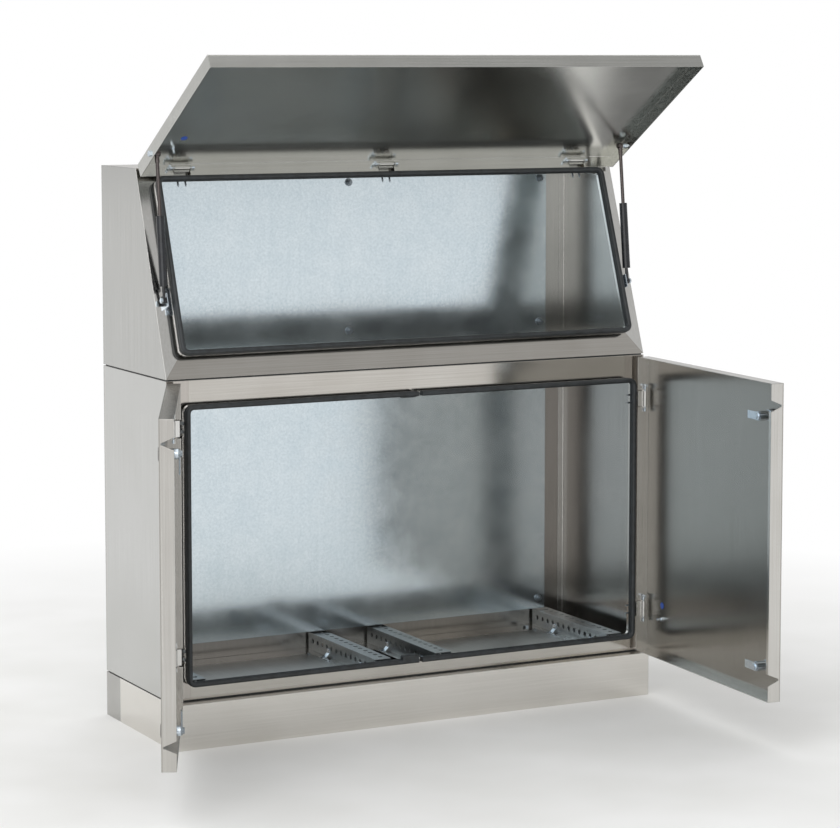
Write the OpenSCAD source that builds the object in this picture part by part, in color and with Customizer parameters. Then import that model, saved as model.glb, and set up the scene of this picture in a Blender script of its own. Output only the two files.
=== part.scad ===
// Stainless steel control console: a plinth, a lower body with two doors and an
// upper body with a leaning front, whose lid is held up by two gas struts.
// The origin is the middle of the plinth on the floor. The front faces -Y.

/* [Bodies] */
// Width over the side panels
width = 1200; // [1000:10:1600]
// Depth over the plinth, which is also the depth over the closed doors
depth = 400; // [360:10:500]
// Height of the plinth
plinth_h = 100; // [80:5:200]
// Height from the plinth to the joint between the bodies
lower_h = 700; // [600:10:900]
// Height of the upper body with the joint under it
upper_h = 450; // [400:10:520]
// Lean of the upper front from upright, in degrees
slope = 20; // [12:1:24]
// Open joint between the stacked bodies
joint_gap = 3; // [2:0.5:5]
// Sheet thickness of the bodies, doors and lid
sheet = 1.5; // [1:0.1:2]
// Inner flange that a side panel is welded by
weld_flange = 15; // [10:1:25]

/* [Front frames] */
// Side panel to the collar, on both frames
collar_side = 39; // [37:1:60]
// Top edge to the collar of the lower frame
lower_collar_top = 55; // [45:1:70]
// Bottom edge to the collar of the lower frame
lower_collar_bottom = 37; // [33:1:50]
// Top edge to the collar of the upper frame, along the lean
upper_collar_top = 31; // [31:1:45]
// Bottom edge to the collar of the upper frame, along the lean
upper_collar_bottom = 52; // [45:1:70]
// How far a collar stands out of its frame
collar_len = 22; // [18:1:24]
// Corner radius of the collars
collar_r = 14; // [10:1:25]
// Width of the gasket that is clipped on a collar
gasket_w = 11; // [9:1:13]
// How much of the collar the gasket covers
gasket_grip = 9; // [6:1:11]

/* [Doors and lid] */
// Depth of the folded doors and of the lid
door_depth = 30; // [26:1:34]
// Gap between a closed door and the frame behind it
door_gap = 2; // [1.5:0.5:4]
// Reveal around the doors and the lid
reveal = 1.5; // [1:0.5:3]
// Reveal above the doors
door_top_reveal = 3; // [2:0.5:6]
// Length of the lid along the lean
lid_len = 452; // [380:2:460]
// Door edge to the hinge line
hinge_inset = 5.5; // [5:0.5:7]
// Frame face to the hinge line
hinge_out = 19; // [18:0.5:21]
// Door end to the middle of a hinge
hinge_end = 98; // [80:1:150]
// End of the upper body to the middle of an outer lid hinge
lid_hinge_end = 100; // [80:5:300]
// Height of a hinge bracket
hinge_h = 36; // [28:1:50]
// Diameter of a hinge pin
hinge_pin_d = 6; // [5:0.5:7]
// Mouth of the notches in the free flange of a door
notch_w = 25; // [16:1:30]
// Depth of those notches
notch_depth = 26; // [15:1:27]
// Door end to the near side of a notch
notch_end = 36; // [25:1:50]
// Width of the lip folded in from the free flange
lip_w = 10; // [6:1:14]

/* [Locks] */
// Door end to a lock
lock_end = 73; // [73:1:90]
// Free edge of the door to a lock
lock_edge = 40; // [32:1:60]
// Diameter of the lock barrel
lock_d = 20; // [16:1:24]
// Diameter of the turning core of a lock
core_d = 10; // [8:1:12]
// Distance of the cam behind the door face
cam_back = 38; // [37:0.5:42]
// Width of the cam
cam_w = 17.5; // [14:0.5:20]
// Reach of the cam from the core
cam_reach = 40; // [39:1:44]
// Thickness of the cam
cam_t = 3; // [2:0.5:4]

/* [Gas struts] */
// Side panel to the middle of a strut
strut_side = 17; // [16:0.5:19]
// Hinge line to the strut's pin on the lid
strut_arm = 70; // [60:1:80]
// Frame face to the strut's pin on the closed lid
strut_pin_out = 16; // [14:0.5:17]
// Top edge to the strut's lower pivot, along the lean
strut_foot_p = 303; // [296:1:320]
// Frame face to the strut's lower pivot
strut_foot_out = 13.5; // [12:0.5:16]
// Diameter of the strut barrel
strut_d = 18; // [14:1:20]
// Length of the strut barrel
strut_barrel = 152; // [140:1:165]
// Diameter of the strut rod
strut_rod_d = 8; // [6:1:9]
// Thickness of the eyes at the strut's ends
strut_eye_t = 8; // [6:1:9]

/* [Open angles as shown] */
// Right door, in degrees
right_open = 86.5; // [0:0.5:120]
// Left door, in degrees
left_open = 114; // [0:0.5:120]
// Lid, in degrees
lid_open = 101.6; // [0:0.2:101.6]

/* [Inside] */
// Mounting plates from the side panels
plate_side = 69; // [60:1:120]
// Thickness of a mounting plate
plate_t = 2; // [1.5:0.5:4]
// Rear panel to the back of a mounting plate
plate_off = 28; // [20:1:40]
// Floor of a body to the lower edge of its mounting plate
lower_plate_up = 46; // [44:1:80]
// Roof of the lower body to its mounting plate
lower_plate_down = 25; // [15:1:60]
// Floor of the upper body to the lower edge of its mounting plate
upper_plate_up = 25; // [15:1:50]
// Roof of the upper body to its mounting plate
upper_plate_down = 25; // [15:1:50]
// Edge of a mounting plate to its studs
stud_edge = 18; // [14:1:30]
// Diameter of the studs
stud_d = 8; // [6:1:10]
// Width and height of a floor rail
rail_w = 40; // [30:1:42]
// Wall of a floor rail
rail_t = 2; // [1.5:0.5:3]
// Middle of the cabinet to an inner floor rail
rail_inner_x = 77; // [75:1:110]
// Side panel to the middle of an outer floor rail
rail_outer = 70; // [60:1:90]
// Clearance at both ends of a floor rail
rail_end = 8; // [8:1:20]
// Diameter of the rail holes
rail_hole_d = 11; // [6:1:12]
// Pitch of the rail holes
rail_pitch = 25; // [20:1:40]
// Width of the cable passage between the bodies
passage_w = 840; // [400:10:900]
// Half width of the cable entry between the inner rails
entry_half = 38; // [25:1:40]

/* [Plinth] */
// Sheet thickness of the plinth
plinth_t = 2; // [1.5:0.5:4]
// Width of the plinth's foot flange
foot_w = 45; // [40:1:60]
// Width of the plinth's upper flange
ledge_w = 62; // [58:1:80]
// Length of the rear plinth piece along the sides
plinth_rear_len = 82; // [60:1:150]
// Diameter of the floor bolt holes
anchor_d = 14; // [10:1:18]
// End of the plinth to the floor bolt holes
anchor_end = 60; // [50:1:100]
// Outer face of the plinth to the floor bolt holes
anchor_in = 24; // [20:1:30]
// Diameter of the bolts that hold the bodies and the plinth together
bolt_d = 8; // [6:1:10]

/* [Hidden] */
$fn = 48;

stainless = "#B9B8B3";
galvanised = "#B5C4CC";
zinc = "#D3DDE6";
rubber = "#2A2C2C";
black_metal = "#1E1F21";

// Running and seating clearances
eps = 0.02;
run_gap = 0.05;
seal_gap = 0.3;
hole_gap = 0.1;
open_pivot_gap = 0.3;

// Heights and faces of the stacked bodies
half_w = width / 2;
rear_y = depth / 2;
front_y = -depth / 2 + door_depth + door_gap;
lower_z = plinth_h + joint_gap;
lower_top = plinth_h + lower_h;
upper_z = lower_top + joint_gap;
upper_top = lower_top + upper_h;
lower_frame_h = lower_top - lower_z;

// The leaning front starts at the joint, in line with the lower front
slope_y = front_y + joint_gap * tan(slope);
slope_len = (upper_top - upper_z) / cos(slope);

// Gasket reach: just short of the inner face of a closed door
gasket_front = door_gap + door_depth - sheet - seal_gap;
gasket_back = collar_len - gasket_grip;

// Slit in the lower gasket and collar for the doors' free flanges, and the blocks that close its ends
slit_side = 1.5;
slit_half = reveal + sheet + slit_side;
slit_back = door_gap / 4;
gasket_block_len = 42;
gasket_block_drop = 3.5;
gasket_block_rise = 9;
gasket_block_front = 16.5;

// Hinge line of the right door and of the lid
hinge_x = half_w - reveal - hinge_inset;
hinge_y = front_y - hinge_out;
lid_out = door_gap + door_depth;
lid_top = slope_len - reveal;
lid_hinge_z = lid_top - hinge_inset;
door_z = lower_z + reveal;
door_top = lower_top - door_top_reveal;
door_hinge_zs = [door_z + hinge_end, door_top - hinge_end];
lid_hinge_xs = [lid_hinge_end - half_w, 0, half_w - lid_hinge_end];
hinge_wall = 2;
hinge_barrel_d = hinge_pin_d + 2 * hinge_wall;
hinge_strap = 2.5;
hinge_step = 15;
hinge_cut = hinge_h + 4;
lug_t = 2;
lug_len = 12;
lug_leaf_t = 0.8;
pin_knob_len = 8;
pin_end_up = 12;
pin_end_len = 9;

// Self-tapping screws that hold the hinges, brackets, tabs and gland plates
screw_d = 4;
screw_head_d = 7;
screw_head_t = 2.5;
screw_len = 13;
lid_screw_len = 18;
screw_pitch = 18;
foot_screw_out = 6.5;

// Gas strut: pin on the lid and lower pivot, as [y, z] on the leaning front
lid_pin_shut = [-strut_pin_out, lid_hinge_z - strut_arm];
strut_foot = [-strut_foot_out, slope_len - strut_foot_p];
lid_pin_arm = lid_pin_shut - [-hinge_out, lid_hinge_z];
lid_pin = [-hinge_out + lid_pin_arm[0] * cos(lid_open) + lid_pin_arm[1] * sin(lid_open),
    lid_hinge_z - lid_pin_arm[0] * sin(lid_open) + lid_pin_arm[1] * cos(lid_open)];
strut_line = lid_pin - strut_foot;
strut_len = norm(strut_line);
strut_angle = atan2(-strut_line[0], strut_line[1]);
strut_x = half_w - strut_side;
strut_eye_d = 13;
strut_neck = 30;
strut_rod_end = 20;
strut_rod_end_d = strut_eye_t + 2;
strut_rod_nut_t = 3;
strut_neck_d = strut_eye_t - 1;
strut_pin_d = 8;
strut_bore_d = strut_d - 3;
strut_cap = 8;
strut_rod_inside = 40;
strut_piston = 10;
strut_stud_out = 5;
strut_plate_t = 2;
strut_upright_x = strut_x - strut_eye_t / 2 - open_pivot_gap - strut_plate_t;
strut_foot_w = 16;
strut_foot_h = 60;
strut_screw_pitch = 43;
strut_upright_h = 30;
bolt_head_t = 4;
bolt_head_d = 13;

// Locks
lock_flange_d = 27;
lock_proud = 2;
core_proud = 1.5;
lock_nut_d = 27;
lock_base_t = 5;
lock_nut_t = 6;
lock_len = lock_base_t + lock_nut_t / 2;
lock_sleeve_d = 21;
cam_clear = 0.5;
key_d = 7;
key_depth = 5;
hub_d = 19;

// Inside
plate_front = rear_y - sheet - plate_off - plate_t;
plate_fold = 12;
lower_plate_z = [lower_z + lower_plate_up, lower_top - lower_plate_down];
upper_plate_z = [upper_z + upper_plate_up, upper_top - upper_plate_down];
plate_half = half_w - plate_side;
stud_x = plate_half - stud_edge;
stud_low = 26;
lower_stud_down = 14;
upper_stud_down = 24;
stud_washer_d = 18;
stud_washer_t = 1.5;
stud_nut_d = 14;
stud_nut_t = 6;
stud_end = 5;
stud_sleeve_d = 14;
rail_y = front_y + sheet + rail_end;
rail_len = depth / 2 - sheet - rail_end - rail_y;
rail_z = lower_z + sheet;
outer_rail_x = half_w - rail_outer;
rail_hole_off = 5;
tab_w = 14;
tab_foot = 9;
tab_run = 9;
tab_rise = 9;
tab_t = 1.5;
tab_h = 20;
tab_out = tab_run + tab_foot;
tab_screw_len = tab_t + sheet + joint_gap - seal_gap;
gland_gap = 8;
gland_in = 12;
gland_edge = 10;
gland_x = rail_inner_x + rail_w / 2 + tab_out + gland_gap;
gland_w = outer_rail_x - rail_w / 2 - tab_out - gland_gap - gland_x;
gland_y = -rear_y + ledge_w + gland_edge;
gland_len = rear_y - ledge_w - gland_edge - gland_y;
gland_t = 2;
tab_ys = [rail_y + rail_len * 0.2, rail_y + rail_len * 0.69];
rail_xs = [-outer_rail_x, -rail_inner_x, rail_inner_x, outer_rail_x];
passage_in = 60;
passage_y = front_y + passage_in;
passage_rear = rear_y - passage_in;

// Bolts through the stacked bodies, and the seal between them
stack_bolt_end = 40;
stack_bolt_x = half_w - stack_bolt_end;
bolt_nut_t = 6;
bolt_nut_d = 15;
front_bolt_in = 20;
stack_bolt_in = 25;
rear_bolt_in = 30;
stack_bolt_ys = [front_y + stack_bolt_in, rear_y - rear_bolt_in];
plinth_bolt_end = 120;
plinth_bolt_ys = [front_y + front_bolt_in, rear_y - rear_bolt_in];
plinth_bolt_x = half_w - plinth_bolt_end;
seal_in = 4;
seal_w = 8;

// Earth studs
earth_edge = 75;
earth_up = 85;
earth_d = 6;
earth_len = 14;
earth_nut_d = 11;
earth_nut_t = 4;
lid_earth_in = 57;
lid_earth_x = half_w - lid_earth_in;
lid_earth_down = 75;

// Shapes shared by the sub-parts

// A flat outline in x and z, thickened from y0 back to y1
module slab(y0, y1) {
    translate([0, y0, 0]) rotate([90, 0, 0]) linear_extrude(y0 - y1) children();
}

// A flat outline in y and z, thickened from x0 to x1
module side_slab(x0, x1) {
    translate([x0, 0, 0]) rotate([90, 0, 90]) linear_extrude(x1 - x0) children();
}

// A window outline with round corners
module window(half, z0, z1, r) {
    translate([-half + r, z0]) square([2 * (half - r), z1 - z0]);
    translate([-half, z0 + r]) square([2 * half, z1 - z0 - 2 * r]);
    for (side = [-1, 1], z = [z0 + r, z1 - r]) translate([side * (half - r), z]) circle(r);
}

// A box from its corners
module block(x, y, z) {
    translate([x[0], y[0], z[0]]) cube([x[1] - x[0], y[1] - y[0], z[1] - z[0]]);
}

// Repeats the right half's piece on the left
module both_sides() {
    for (side = [0, 1]) mirror([side, 0, 0]) children();
}

// Places a piece on the leaning front: y = 0 is its face, z runs up the lean
module on_slope() {
    translate([0, slope_y, upper_z]) rotate([-slope, 0, 0]) children();
}

// Swings a piece of the right door, or of the mirrored left one, open
module swing(angle) {
    translate([hinge_x, hinge_y, 0]) rotate([0, 0, angle]) translate([-hinge_x, -hinge_y, 0]) children();
}

module on_right_door() {
    swing(right_open) children();
}

module on_left_door() {
    mirror([1, 0, 0]) swing(left_open) children();
}

// Lifts a piece of the lid, given on the leaning front with the lid shut
module on_lid() {
    on_slope() translate([0, -hinge_out, lid_hinge_z]) rotate([-lid_open, 0, 0])
        translate([0, hinge_out, -lid_hinge_z]) children();
}

// Places a hinge drawn around a z axis, with +x to the door's edge and -y outwards
module at_door_hinges() {
    for (z = door_hinge_zs) translate([hinge_x, hinge_y, z]) children();
}

module at_lid_hinges() {
    for (x = lid_hinge_xs) translate([x, -hinge_out, lid_hinge_z]) rotate([0, -90, 0]) children();
}

// Places the screws of a hinge on the collar beside it; +x points away from the collar
module at_hinge_screws(collar) {
    foot = hinge_inset + reveal - collar;
    for (z = [-1, 1]) translate([foot, hinge_out - foot_screw_out, z * screw_pitch / 2])
        rotate([0, 90, 0]) children();
}

module screw_hole() {
    translate([0, 0, -screw_len]) cylinder(d = screw_d, h = 2 * screw_len);
}

// A pan head screw with its head above z = 0 on a plate of the given thickness
module screw(plate, len = screw_len) {
    translate([0, 0, plate]) cylinder(d = screw_head_d, h = screw_head_t);
    translate([0, 0, plate - len + screw_d]) cylinder(d = screw_d, h = len - screw_d);
    translate([0, 0, plate - len]) cylinder(d1 = screw_d / 4, d2 = screw_d, h = screw_d);
}

// Plinth

module anchor_holes() {
    for (x = [-1, 1], y = [-1, 1]) translate([x * (half_w - anchor_end), y * (rear_y - anchor_in), -eps])
        cylinder(d = anchor_d, h = plinth_t + 2 * eps);
}

module plinth_bolt_holes() {
    for (x = [-1, 1], y = plinth_bolt_ys) translate([x * plinth_bolt_x, y, plinth_h - plinth_t - eps])
        cylinder(d = bolt_d + hole_gap, h = joint_gap + plinth_t + sheet + 2 * eps);
}

// A bent wall with a flange along its foot and another along its top. It is open towards the
// other plinth piece, and the flanges run on along the arms
module plinth_wall(y0, y1, inside) {
    difference() {
        block([-half_w, half_w], [y0, y1], [0, plinth_h]);
        block([-half_w + plinth_t, half_w - plinth_t], inside, [plinth_t, plinth_h - plinth_t]);
        flange_opening(foot_w, [-eps, plinth_h / 2]);
        flange_opening(ledge_w, [plinth_h / 2, plinth_h + eps]);
        anchor_holes();
        plinth_bolt_holes();
    }
}

module flange_opening(flange, z) {
    block([-half_w + flange, half_w - flange], [-rear_y + flange, rear_y - flange], z);
}

module plinth_front() {
    color(stainless) plinth_wall(-rear_y, rear_y - plinth_rear_len, [-rear_y + plinth_t, rear_y]);
}

module plinth_rear() {
    color(stainless) plinth_wall(rear_y - plinth_rear_len, rear_y, [-rear_y, rear_y - plinth_t]);
}

// Bolt with its head on top of a stack of sheets and its nut below
module stack_bolt(stack) {
    translate([0, 0, stack]) cylinder(d = bolt_nut_d, h = bolt_head_t, $fn = 6);
    translate([0, 0, -eps]) cylinder(d = bolt_d, h = stack + 2 * eps);
    translate([0, 0, -bolt_nut_t]) cylinder(d = bolt_nut_d, h = bolt_nut_t, $fn = 6);
}

module frame_bolts() {
    color(zinc) {
        for (x = [-1, 1], y = plinth_bolt_ys) translate([x * plinth_bolt_x, y, plinth_h - plinth_t])
            stack_bolt(plinth_t + joint_gap + sheet);
        for (x = [-1, 1], y = stack_bolt_ys) translate([x * stack_bolt_x, y, lower_top - sheet])
            stack_bolt(sheet + joint_gap + sheet);
    }
}

module stack_bolt_holes() {
    for (x = [-1, 1], y = stack_bolt_ys) translate([x * stack_bolt_x, y, lower_top - sheet - eps])
        cylinder(d = bolt_d + hole_gap, h = joint_gap + 2 * sheet + 2 * eps);
}

module joint_seal(y0, y1, z) {
    difference() {
        block([-half_w + seal_in, half_w - seal_in], [y0 + seal_in, y1 - seal_in], [z, z + joint_gap]);
        block([-half_w + seal_in + seal_w, half_w - seal_in - seal_w],
            [y0 + seal_in + seal_w, y1 - seal_in - seal_w], [z - eps, z + joint_gap + eps]);
    }
}

module joint_seals() {
    color(rubber) {
        joint_seal(front_y, rear_y, plinth_h);
        joint_seal(front_y, rear_y, lower_top);
    }
}

// Lower body

module lower_right_panel() {
    block([half_w - sheet, half_w], [front_y + sheet, rear_y - sheet], [lower_z, lower_top]);
    block([half_w - weld_flange, half_w], [front_y + sheet, front_y + 2 * sheet], [lower_z, lower_top]);
    block([half_w - weld_flange, half_w], [rear_y - 2 * sheet, rear_y - sheet], [lower_z, lower_top]);
}

module lower_left_side() {
    color(stainless) mirror([1, 0, 0]) lower_right_panel();
}

module lower_right_side() {
    color(stainless) lower_right_panel();
}

module lower_rear_panel() {
    color(stainless) block([-half_w, half_w], [rear_y - sheet, rear_y], [lower_z, lower_top]);
}

// A roof or floor sheet between the side panels
module deck(z, y0) {
    block([-half_w + sheet, half_w - sheet], [y0, rear_y - 2 * sheet], [z, z + sheet]);
}

module cable_passage() {
    block([-passage_w / 2, passage_w / 2], [passage_y, passage_rear],
        [lower_top - 2 * sheet, upper_z + 2 * sheet]);
}

module lower_roof() {
    color(stainless) difference() {
        deck(lower_top - sheet, front_y + 2 * sheet);
        cable_passage();
        stack_bolt_holes();
    }
}

module gland_screw_spots() {
    for (x = [gland_x + gland_in / 2, gland_x + gland_w - gland_in / 2],
            y = [gland_y + gland_in / 2, gland_y + gland_len - gland_in / 2])
        both_sides() translate([x, y, lower_z + sheet]) children();
}

module tab_screw_spots() {
    for (x = rail_xs, y = tab_ys) translate([x - rail_w / 2 - tab_out + tab_foot / 2, y, rail_z]) children();
}

module lower_floor() {
    color(stainless) difference() {
        deck(lower_z, front_y + 2 * sheet);
        both_sides() block([gland_x + gland_in, gland_x + gland_w - gland_in],
            [gland_y + gland_in, gland_y + gland_len - gland_in], [lower_z - eps, lower_z + sheet + eps]);
        block([-entry_half, entry_half], [gland_y + gland_in, gland_y + gland_len - gland_in],
            [lower_z - eps, lower_z + sheet + eps]);
        plinth_bolt_holes();
        gland_screw_spots() screw_hole();
        tab_screw_spots() screw_hole();
    }
}

// A front frame with its collar: y = 0 is the face and the collar points to -y
module front_frame(h, top, bottom) {
    inner = half_w - collar_side - sheet;
    slab(sheet, 0) difference() {
        translate([-half_w, 0]) square([width, h]);
        window(inner, bottom + sheet, h - top - sheet, collar_r - sheet);
    }
    slab(sheet, -collar_len) difference() {
        window(inner + sheet, bottom, h - top, collar_r);
        window(inner, bottom + sheet, h - top - sheet, collar_r - sheet);
    }
}

// A gasket ring that is clipped over the edge of a collar
module gasket(h, top, bottom) {
    middle = half_w - collar_side - sheet / 2;
    grow = gasket_w / 2;
    wall = sheet / 2 + hole_gap;
    r = collar_r - sheet / 2;
    difference() {
        slab(-gasket_back, -gasket_front) difference() {
            window(middle + grow, bottom + sheet / 2 - grow, h - top - sheet / 2 + grow, r + grow);
            window(middle - grow, bottom + sheet / 2 + grow, h - top - sheet / 2 - grow, r - grow);
        }
        slab(-gasket_back + eps, -collar_len - hole_gap) difference() {
            window(middle + wall, bottom + sheet / 2 - wall, h - top - sheet / 2 + wall, r + wall);
            window(middle - wall, bottom + sheet / 2 + wall, h - top - sheet / 2 - wall, r - wall);
        }
    }
}

module lower_front_frame() {
    color(stainless) difference() {
        translate([0, front_y, lower_z]) front_frame(lower_frame_h, lower_collar_top, lower_collar_bottom);
        both_sides() at_door_hinges() at_hinge_screws(collar_side) screw_hole();
        free_flange_slit();
    }
}

// Cut through the collar and the gasket where the doors meet
module free_flange_slit() {
    block([-slit_half, slit_half], [front_y - 2 * gasket_front, front_y - slit_back], [lower_z, lower_top]);
}

// Block that closes one end of the gasket beside the slit, from its height z0 to z1
module gasket_block(z0, z1, front) {
    block([-slit_half - gasket_block_len, -slit_half], [-front, -gasket_back], [z0, z1]);
}

module lower_gasket() {
    low = lower_collar_bottom + sheet / 2 + gasket_w / 2;
    high = lower_frame_h - lower_collar_top - sheet / 2 - gasket_w / 2;
    color(rubber) difference() {
        translate([0, front_y, lower_z]) {
            gasket(lower_frame_h, lower_collar_top, lower_collar_bottom);
            gasket_block(low - eps, low + gasket_block_rise, gasket_front);
            gasket_block(high - gasket_block_drop, high + eps, gasket_block_front);
        }
        free_flange_slit();
    }
}

// A mounting plate with folded side edges, and its studs on the rear panel

module mounting_plate(z, xs, down) {
    difference() {
        union() {
            block([-plate_half, plate_half], [plate_front, plate_front + plate_t], z);
            both_sides() block([plate_half - plate_t, plate_half],
                [plate_front, plate_front + plate_fold], z);
        }
        for (x = xs, spot = [z[0] + stud_low, z[1] - down])
            translate([x, plate_front - eps, spot]) rotate([-90, 0, 0])
                cylinder(d = stud_d + hole_gap, h = plate_t + 2 * eps);
    }
}

module plate_studs(z, xs, down) {
    for (x = xs, spot = [z[0] + stud_low, z[1] - down])
        translate([x, plate_front, spot]) rotate([90, 0, 0]) {
            translate([0, 0, -plate_t - plate_off]) cylinder(d = stud_sleeve_d, h = plate_off);
            translate([0, 0, -plate_t - plate_off])
                cylinder(d = stud_d, h = plate_off + plate_t + stud_washer_t + stud_nut_t + stud_end);
            cylinder(d = stud_washer_d, h = stud_washer_t);
            translate([0, 0, stud_washer_t - eps]) cylinder(d = stud_nut_d, h = stud_nut_t, $fn = 6);
        }
}

module lower_mounting_plate() {
    color(galvanised) mounting_plate(lower_plate_z, [-stud_x, stud_x], lower_stud_down);
}

module lower_plate_studs() {
    color(zinc) plate_studs(lower_plate_z, [-stud_x, stud_x], lower_stud_down);
}

// A channel rail, open below, with a row of holes in its top and in its sides
module floor_rail(x) {
    holes = floor((rail_len - rail_pitch) / rail_pitch);
    start = rail_y + (rail_len - holes * rail_pitch) / 2;
    color(galvanised) difference() {
        block([x - rail_w / 2, x + rail_w / 2], [rail_y, rail_y + rail_len], [rail_z, rail_z + rail_w]);
        block([x - rail_w / 2 + rail_t, x + rail_w / 2 - rail_t], [rail_y - eps, rail_y + rail_len + eps],
            [rail_z - eps, rail_z + rail_w - rail_t]);
        for (i = [0 : holes]) translate([x, start + i * rail_pitch, rail_z]) {
            translate([rail_hole_off, 0, 0]) cylinder(d = rail_hole_d, h = rail_w + eps);
            translate([-rail_w / 2 - eps, 0, rail_w / 2 + rail_t]) rotate([0, 90, 0])
                cylinder(d = rail_hole_d, h = rail_w + 2 * eps);
        }
    }
}

module floor_rail_left() {
    floor_rail(rail_xs[0]);
}

module floor_rail_mid_left() {
    floor_rail(rail_xs[1]);
}

module floor_rail_mid_right() {
    floor_rail(rail_xs[2]);
}

module floor_rail_right() {
    floor_rail(rail_xs[3]);
}

// A bent tab: a foot on the floor, a slope up to the rail and a tongue against its side
module rail_tab() {
    translate([0, tab_w / 2, 0]) rotate([90, 0, 0]) linear_extrude(height = tab_w) polygon([
        [-tab_out, 0], [-tab_run, 0], [0, tab_rise], [0, tab_h],
        [-tab_t, tab_h], [-tab_t, tab_rise + tab_t / 2], [-tab_run - tab_t / 2, tab_t], [-tab_out, tab_t]
    ]);
}

module rail_tabs() {
    color(zinc) difference() {
        for (x = rail_xs, y = tab_ys) translate([x - rail_w / 2, y, rail_z]) rail_tab();
        tab_screw_spots() screw_hole();
    }
}

module gland_plate() {
    difference() {
        block([gland_x, gland_x + gland_w], [gland_y, gland_y + gland_len],
            [lower_z + sheet, lower_z + sheet + gland_t]);
        gland_screw_spots() screw_hole();
    }
}

module gland_plate_left() {
    color(stainless) mirror([1, 0, 0]) gland_plate();
}

module gland_plate_right() {
    color(stainless) gland_plate();
}

// Upper body

module upper_profile(back) {
    lean = tan(slope);
    polygon([
        [slope_y + sheet / cos(slope), upper_z],
        [back, upper_z],
        [back, upper_top],
        [slope_y + sheet / cos(slope) + (upper_top - upper_z) * lean, upper_top]
    ]);
}

module upper_right_panel() {
    side_slab(half_w - sheet, half_w) upper_profile(rear_y - sheet);
    block([half_w - weld_flange, half_w], [rear_y - 2 * sheet, rear_y - sheet], [upper_z, upper_top]);
}

module upper_left_side() {
    color(stainless) mirror([1, 0, 0]) upper_right_panel();
}

module upper_right_side() {
    color(stainless) upper_right_panel();
}

module upper_rear_panel() {
    color(stainless) block([-half_w, half_w], [rear_y - sheet, rear_y], [upper_z, upper_top]);
}

// A deck sheet whose front edge meets the back of the leaning frame
module upper_deck(z) {
    near = slope_y + (sheet + eps) / cos(slope) + (z + sheet - upper_z) * tan(slope);
    deck(z, near);
}

module upper_roof() {
    color(stainless) upper_deck(upper_top - sheet);
}

module upper_floor() {
    color(stainless) difference() {
        upper_deck(upper_z);
        cable_passage();
        stack_bolt_holes();
    }
}

// The frame's ends are cut level with the floor and the roof of the body
module upper_front_frame() {
    color(stainless) difference() {
        on_slope() front_frame(slope_len, upper_collar_top, upper_collar_bottom);
        on_slope() at_lid_hinges() at_hinge_screws(upper_collar_top) screw_hole();
        on_slope() both_sides() strut_bracket_screw_spots() screw_hole();
        block([-width, width], [slope_y - sheet, slope_y + 2 * sheet], [upper_z - 2 * sheet, upper_z]);
    }
}

module upper_gasket() {
    color(rubber) on_slope() gasket(slope_len, upper_collar_top, upper_collar_bottom);
}

module upper_mounting_plate() {
    color(galvanised) mounting_plate(upper_plate_z, [-stud_x, 0, stud_x], upper_stud_down);
}

module upper_plate_studs() {
    color(zinc) plate_studs(upper_plate_z, [-stud_x, 0, stud_x], upper_stud_down);
}

// Hinges: a folded strap on the collar and the frame carries the barrel

module hinge_bracket(collar) {
    foot = hinge_inset + reveal - collar;
    riser = foot + hinge_step;
    low = hinge_barrel_d / 2 - hinge_strap;
    upstand = gasket_back - door_gap / 2;
    difference() {
        translate([0, 0, -hinge_h / 2]) linear_extrude(hinge_h) {
            circle(d = hinge_barrel_d);
            translate([riser, low]) square([-riser, hinge_strap]);
            translate([riser, low]) square([hinge_strap, hinge_out - low]);
            translate([foot, hinge_out - hinge_strap]) square([riser - foot, hinge_strap]);
            translate([foot, hinge_out - upstand]) square([lug_t, upstand]);
        }
        translate([0, 0, -hinge_h]) cylinder(d = hinge_pin_d + 2 * run_gap, h = 2 * hinge_h);
        at_hinge_screws(collar) screw_hole();
    }
}

// Opening in a door's hinge flange, through which the bracket passes
module hinge_cutout() {
    block([0, 2 * hinge_inset], [-hinge_inset, 2 * hinge_out], [-hinge_cut / 2, hinge_cut / 2]);
}

// Two angle lugs on the inner face of the door's hinge flange, above and below the bracket
module hinge_lugs() {
    face = hinge_inset - sheet;
    for (end = [0, 1]) mirror([0, 0, end]) difference() {
        union() {
            block([-hinge_barrel_d / 2, face], [-hinge_barrel_d / 2, hinge_barrel_d / 2],
                [hinge_cut / 2, hinge_cut / 2 + lug_t]);
            block([face - lug_leaf_t, face], [-hinge_barrel_d / 2, hinge_barrel_d / 2],
                [hinge_cut / 2, hinge_cut / 2 + lug_len]);
        }
        cylinder(d = hinge_pin_d, h = hinge_h);
    }
}

// A pin with a bent end above and a knob below
module hinge_pin() {
    knob_d = 2 * (hinge_inset - sheet - lug_leaf_t - seal_gap);
    top = hinge_cut / 2 + lug_t + pin_end_up;
    low = hinge_cut / 2 + lug_t;
    translate([0, 0, -low]) cylinder(d = hinge_pin_d, h = low + top);
    translate([0, 0, -low - pin_knob_len]) cylinder(d = knob_d, h = pin_knob_len);
    translate([0, 0, top - hinge_pin_d / 2]) rotate([0, -90, 0]) cylinder(d = hinge_pin_d, h = pin_end_len);
    translate([0, 0, top - hinge_pin_d / 2]) sphere(d = hinge_pin_d + eps);
}

module right_brackets() {
    at_door_hinges() hinge_bracket(collar_side);
}

module left_hinge_brackets() {
    color(stainless) mirror([1, 0, 0]) right_brackets();
}

module right_hinge_brackets() {
    color(stainless) right_brackets();
}

module lid_hinge_brackets() {
    color(stainless) on_slope() at_lid_hinges() hinge_bracket(upper_collar_top);
}

// Strut brackets: a foot on the frame and an upright that carries a stud

module strut_bracket_screw_spots() {
    for (z = [-1, 1]) translate([strut_upright_x - strut_foot_w / 2 + strut_plate_t, 0,
        strut_foot[1] + z * strut_screw_pitch / 2]) rotate([90, 0, 0]) children();
}

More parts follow.
